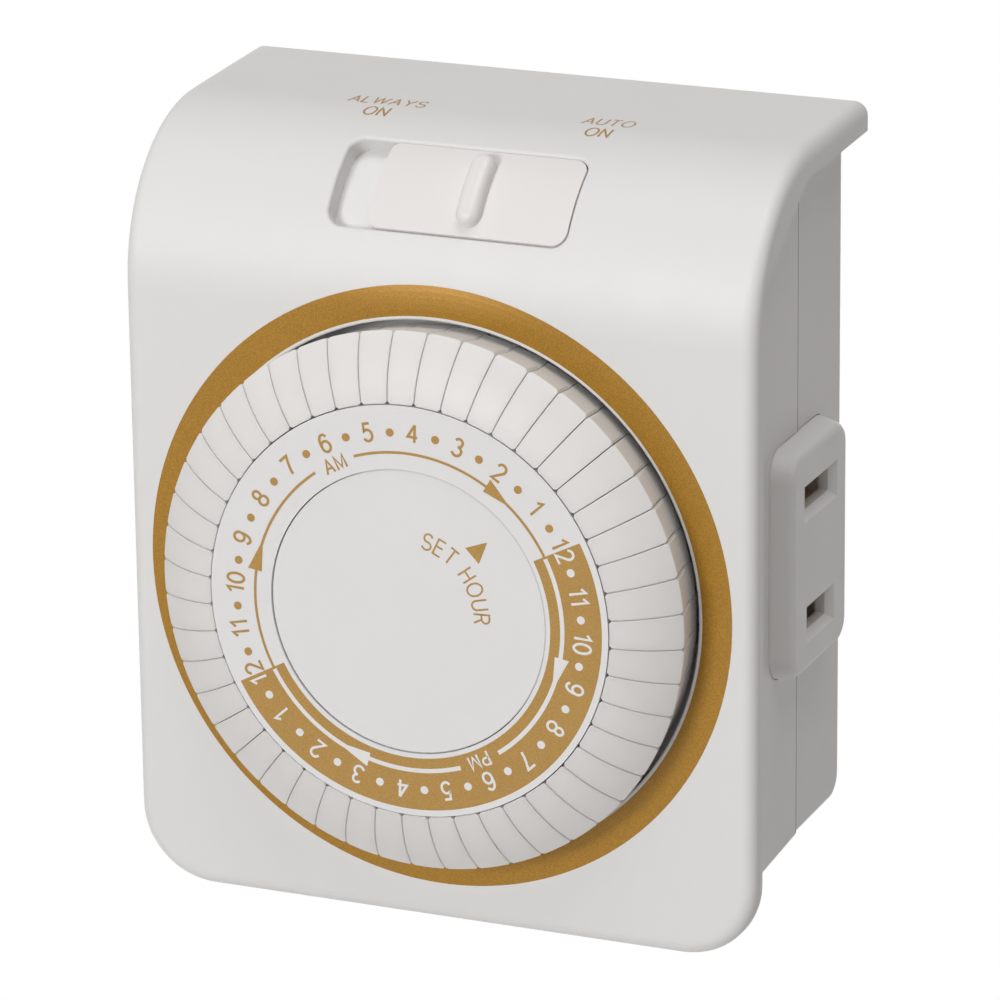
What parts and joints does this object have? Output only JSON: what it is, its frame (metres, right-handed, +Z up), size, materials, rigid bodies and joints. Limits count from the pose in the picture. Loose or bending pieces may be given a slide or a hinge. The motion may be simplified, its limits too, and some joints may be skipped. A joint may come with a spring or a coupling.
{
  "type": "plug-in timer switch",
  "caption": "Plug-in day timer with a round dial of press-in trippers, a slide switch on its rolled top, an outlet in its right side and plug blades behind.",
  "frame": {"origin": "on the flat rear face, midway between the two plug blades", "axes": "+X to the right of someone facing the dial, +Y out of the rear face into the wall outlet, +Z up"},
  "size_m": [0.0668, 0.0558, 0.0798],
  "materials": {
    "case": "satin ivory white thermoplastic",
    "tripper": "satin ivory white thermoplastic",
    "dial": "satin white plastic, its number ring printed in gold",
    "gear_plastic": "natural acetal",
    "phenolic": "dark phenolic moulding",
    "steel": "zinc plated steel",
    "spring_steel": "bright spring steel",
    "brass": "bright brass",
    "blade_metal": "nickel plated brass",
    "copper": "enamelled copper wire",
    "rotor": "ferrite magnet"
  },
  "bodies": {
    "case": {"front_cover": "case", "front_housing": "case", "rear_housing": "case", "outlet_face": "case", "housing_screws": "steel", "dial_cap": "dial", "centre_stud": "gear_plastic", "gear_plate": "steel", "gear_pins": "steel", "motor_cup": "steel", "motor_lid": "steel", "motor_screws": "steel", "coil_bobbin": "gear_plastic", "coil_winding": "copper", "hot_blade": "blade_metal", "neutral_blade": "blade_metal", "hot_contact": "brass", "neutral_contact": "brass", "switch_base": "phenolic", "lever_pin": "steel", "leaf_clamp": "brass", "fixed_contact": "brass"},
    "dial": {"dial_ring": "dial", "dial_gear": "gear_plastic", "clutch_spring": "spring_steel", "hub_clip": "spring_steel"},
    "first_wheel": {"first_wheel": "gear_plastic"},
    "second_wheel": {"second_wheel": "gear_plastic"},
    "motor_pinion": {"motor_pinion": "brass"},
    "rotor": {"motor_rotor": "rotor"},
    "lever": {"switch_lever": "gear_plastic"},
    "leaf": {"moving_contact": "brass"},
    "slider": {"mode_slider": "case", "slider_carriage": "gear_plastic", "detent_spring": "spring_steel"},
    "tripper_am_01": {"tripper_am_01": "tripper"},
    "tripper_am_02": {"tripper_am_02": "tripper"},
    "tripper_am_03": {"tripper_am_03": "tripper"},
    "tripper_am_04": {"tripper_am_04": "tripper"},
    "tripper_am_05": {"tripper_am_05": "tripper"},
    "tripper_am_06": {"tripper_am_06": "tripper"},
    "tripper_am_07": {"tripper_am_07": "tripper"},
    "tripper_am_08": {"tripper_am_08": "tripper"},
    "tripper_am_09": {"tripper_am_09": "tripper"},
    "tripper_am_10": {"tripper_am_10": "tripper"},
    "tripper_am_11": {"tripper_am_11": "tripper"},
    "tripper_pm_12": {"tripper_pm_12": "tripper"},
    "tripper_pm_01": {"tripper_pm_01": "tripper"},
    "tripper_pm_02": {"tripper_pm_02": "tripper"},
    "tripper_pm_03": {"tripper_pm_03": "tripper"},
    "tripper_pm_04": {"tripper_pm_04": "tripper"},
    "tripper_pm_05": {"tripper_pm_05": "tripper"},
    "tripper_pm_06": {"tripper_pm_06": "tripper"},
    "tripper_pm_07": {"tripper_pm_07": "tripper"},
    "tripper_pm_08": {"tripper_pm_08": "tripper"},
    "tripper_pm_09": {"tripper_pm_09": "tripper"},
    "tripper_pm_10": {"tripper_pm_10": "tripper"},
    "tripper_pm_11": {"tripper_pm_11": "tripper"},
    "tripper_am_12": {"tripper_am_12": "tripper"}
  },
  "joints": [
    {"name": "dial_turn", "type": "hinge", "parent": "case", "child": "dial", "pos_m": [0, -0.0315, -0.002], "axis": [0, 1, 0], "continuous": true},
    {"name": "first_wheel_turn", "type": "hinge", "parent": "case", "child": "first_wheel", "pos_m": [-0.01273, -0.0215, -0.01473], "axis": [0, 1, 0], "continuous": true},
    {"name": "second_wheel_turn", "type": "hinge", "parent": "case", "child": "second_wheel", "pos_m": [-0.00145, -0.0205, -0.01883], "axis": [0, 1, 0], "continuous": true},
    {"name": "motor_pinion_turn", "type": "hinge", "parent": "case", "child": "motor_pinion", "pos_m": [-0.01233, -0.0195, -0.0239], "axis": [0, 1, 0], "continuous": true},
    {"name": "rotor_turn", "type": "hinge", "parent": "case", "child": "rotor", "pos_m": [-0.0138, -0.0115, -0.014], "axis": [0, 1, 0], "continuous": true},
    {"name": "lever_tilt", "type": "hinge", "parent": "case", "child": "lever", "pos_m": [0.016, -0.021, 0.0275], "axis": [1, 0, 0], "range_deg": [0, 13.8]},
    {"name": "leaf_bend", "type": "hinge", "parent": "case", "child": "leaf", "pos_m": [0.016, -0.0181, 0.0315], "axis": [1, 0, 0], "range_deg": [0, 6.6]},
    {"name": "mode_slide", "type": "slide", "parent": "case", "child": "slider", "axis": [-1, 0, 0], "range_m": [0, 0.004]},
    {"name": "tripper_am_01_press", "type": "slide", "parent": "dial", "child": "tripper_am_01", "axis": [0, 1, 0], "range_m": [0, 0.003]},
    {"name": "tripper_am_02_press", "type": "slide", "parent": "dial", "child": "tripper_am_02", "axis": [0, 1, 0], "range_m": [0, 0.003]},
    {"name": "tripper_am_03_press", "type": "slide", "parent": "dial", "child": "tripper_am_03", "axis": [0, 1, 0], "range_m": [0, 0.003]},
    {"name": "tripper_am_04_press", "type": "slide", "parent": "dial", "child": "tripper_am_04", "axis": [0, 1, 0], "range_m": [0, 0.003]},
    {"name": "tripper_am_05_press", "type": "slide", "parent": "dial", "child": "tripper_am_05", "axis": [0, 1, 0], "range_m": [0, 0.003]},
    {"name": "tripper_am_06_press", "type": "slide", "parent": "dial", "child": "tripper_am_06", "axis": [0, 1, 0], "range_m": [0, 0.003]},
    {"name": "tripper_am_07_press", "type": "slide", "parent": "dial", "child": "tripper_am_07", "axis": [0, 1, 0], "range_m": [0, 0.003]},
    {"name": "tripper_am_08_press", "type": "slide", "parent": "dial", "child": "tripper_am_08", "axis": [0, 1, 0], "range_m": [0, 0.003]},
    {"name": "tripper_am_09_press", "type": "slide", "parent": "dial", "child": "tripper_am_09", "axis": [0, 1, 0], "range_m": [0, 0.003]},
    {"name": "tripper_am_10_press", "type": "slide", "parent": "dial", "child": "tripper_am_10", "axis": [0, 1, 0], "range_m": [0, 0.003]},
    {"name": "tripper_am_11_press", "type": "slide", "parent": "dial", "child": "tripper_am_11", "axis": [0, 1, 0], "range_m": [0, 0.003]},
    {"name": "tripper_pm_12_press", "type": "slide", "parent": "dial", "child": "tripper_pm_12", "axis": [0, 1, 0], "range_m": [0, 0.003]},
    {"name": "tripper_pm_01_press", "type": "slide", "parent": "dial", "child": "tripper_pm_01", "axis": [0, 1, 0], "range_m": [0, 0.003]},
    {"name": "tripper_pm_02_press", "type": "slide", "parent": "dial", "child": "tripper_pm_02", "axis": [0, 1, 0], "range_m": [0, 0.003]},
    {"name": "tripper_pm_03_press", "type": "slide", "parent": "dial", "child": "tripper_pm_03", "axis": [0, 1, 0], "range_m": [0, 0.003]},
    {"name": "tripper_pm_04_press", "type": "slide", "parent": "dial", "child": "tripper_pm_04", "axis": [0, 1, 0], "range_m": [0, 0.003]},
    {"name": "tripper_pm_05_press", "type": "slide", "parent": "dial", "child": "tripper_pm_05", "axis": [0, 1, 0], "range_m": [0, 0.003]},
    {"name": "tripper_pm_06_press", "type": "slide", "parent": "dial", "child": "tripper_pm_06", "axis": [0, 1, 0], "range_m": [0, 0.003]},
    {"name": "tripper_pm_07_press", "type": "slide", "parent": "dial", "child": "tripper_pm_07", "axis": [0, 1, 0], "range_m": [0, 0.003]},
    {"name": "tripper_pm_08_press", "type": "slide", "parent": "dial", "child": "tripper_pm_08", "axis": [0, 1, 0], "range_m": [0, 0.003]},
    {"name": "tripper_pm_09_press", "type": "slide", "parent": "dial", "child": "tripper_pm_09", "axis": [0, 1, 0], "range_m": [0, 0.003]},
    {"name": "tripper_pm_10_press", "type": "slide", "parent": "dial", "child": "tripper_pm_10", "axis": [0, 1, 0], "range_m": [0, 0.003]},
    {"name": "tripper_pm_11_press", "type": "slide", "parent": "dial", "child": "tripper_pm_11", "axis": [0, 1, 0], "range_m": [0, 0.003]},
    {"name": "tripper_am_12_press", "type": "slide", "parent": "dial", "child": "tripper_am_12", "axis": [0, 1, 0], "range_m": [0, 0.003]}
  ],
  "couplings": [
    {"joint": "first_wheel_turn", "follows": "dial_turn", "ratio": -4},
    {"joint": "second_wheel_turn", "follows": "dial_turn", "ratio": 12},
    {"joint": "motor_pinion_turn", "follows": "dial_turn", "ratio": -36},
    {"joint": "lever_tilt", "follows": "tripper_am_01_press", "rad_per_m": 80},
    {"joint": "leaf_bend", "follows": "tripper_am_01_press", "rad_per_m": 38}
  ]
}
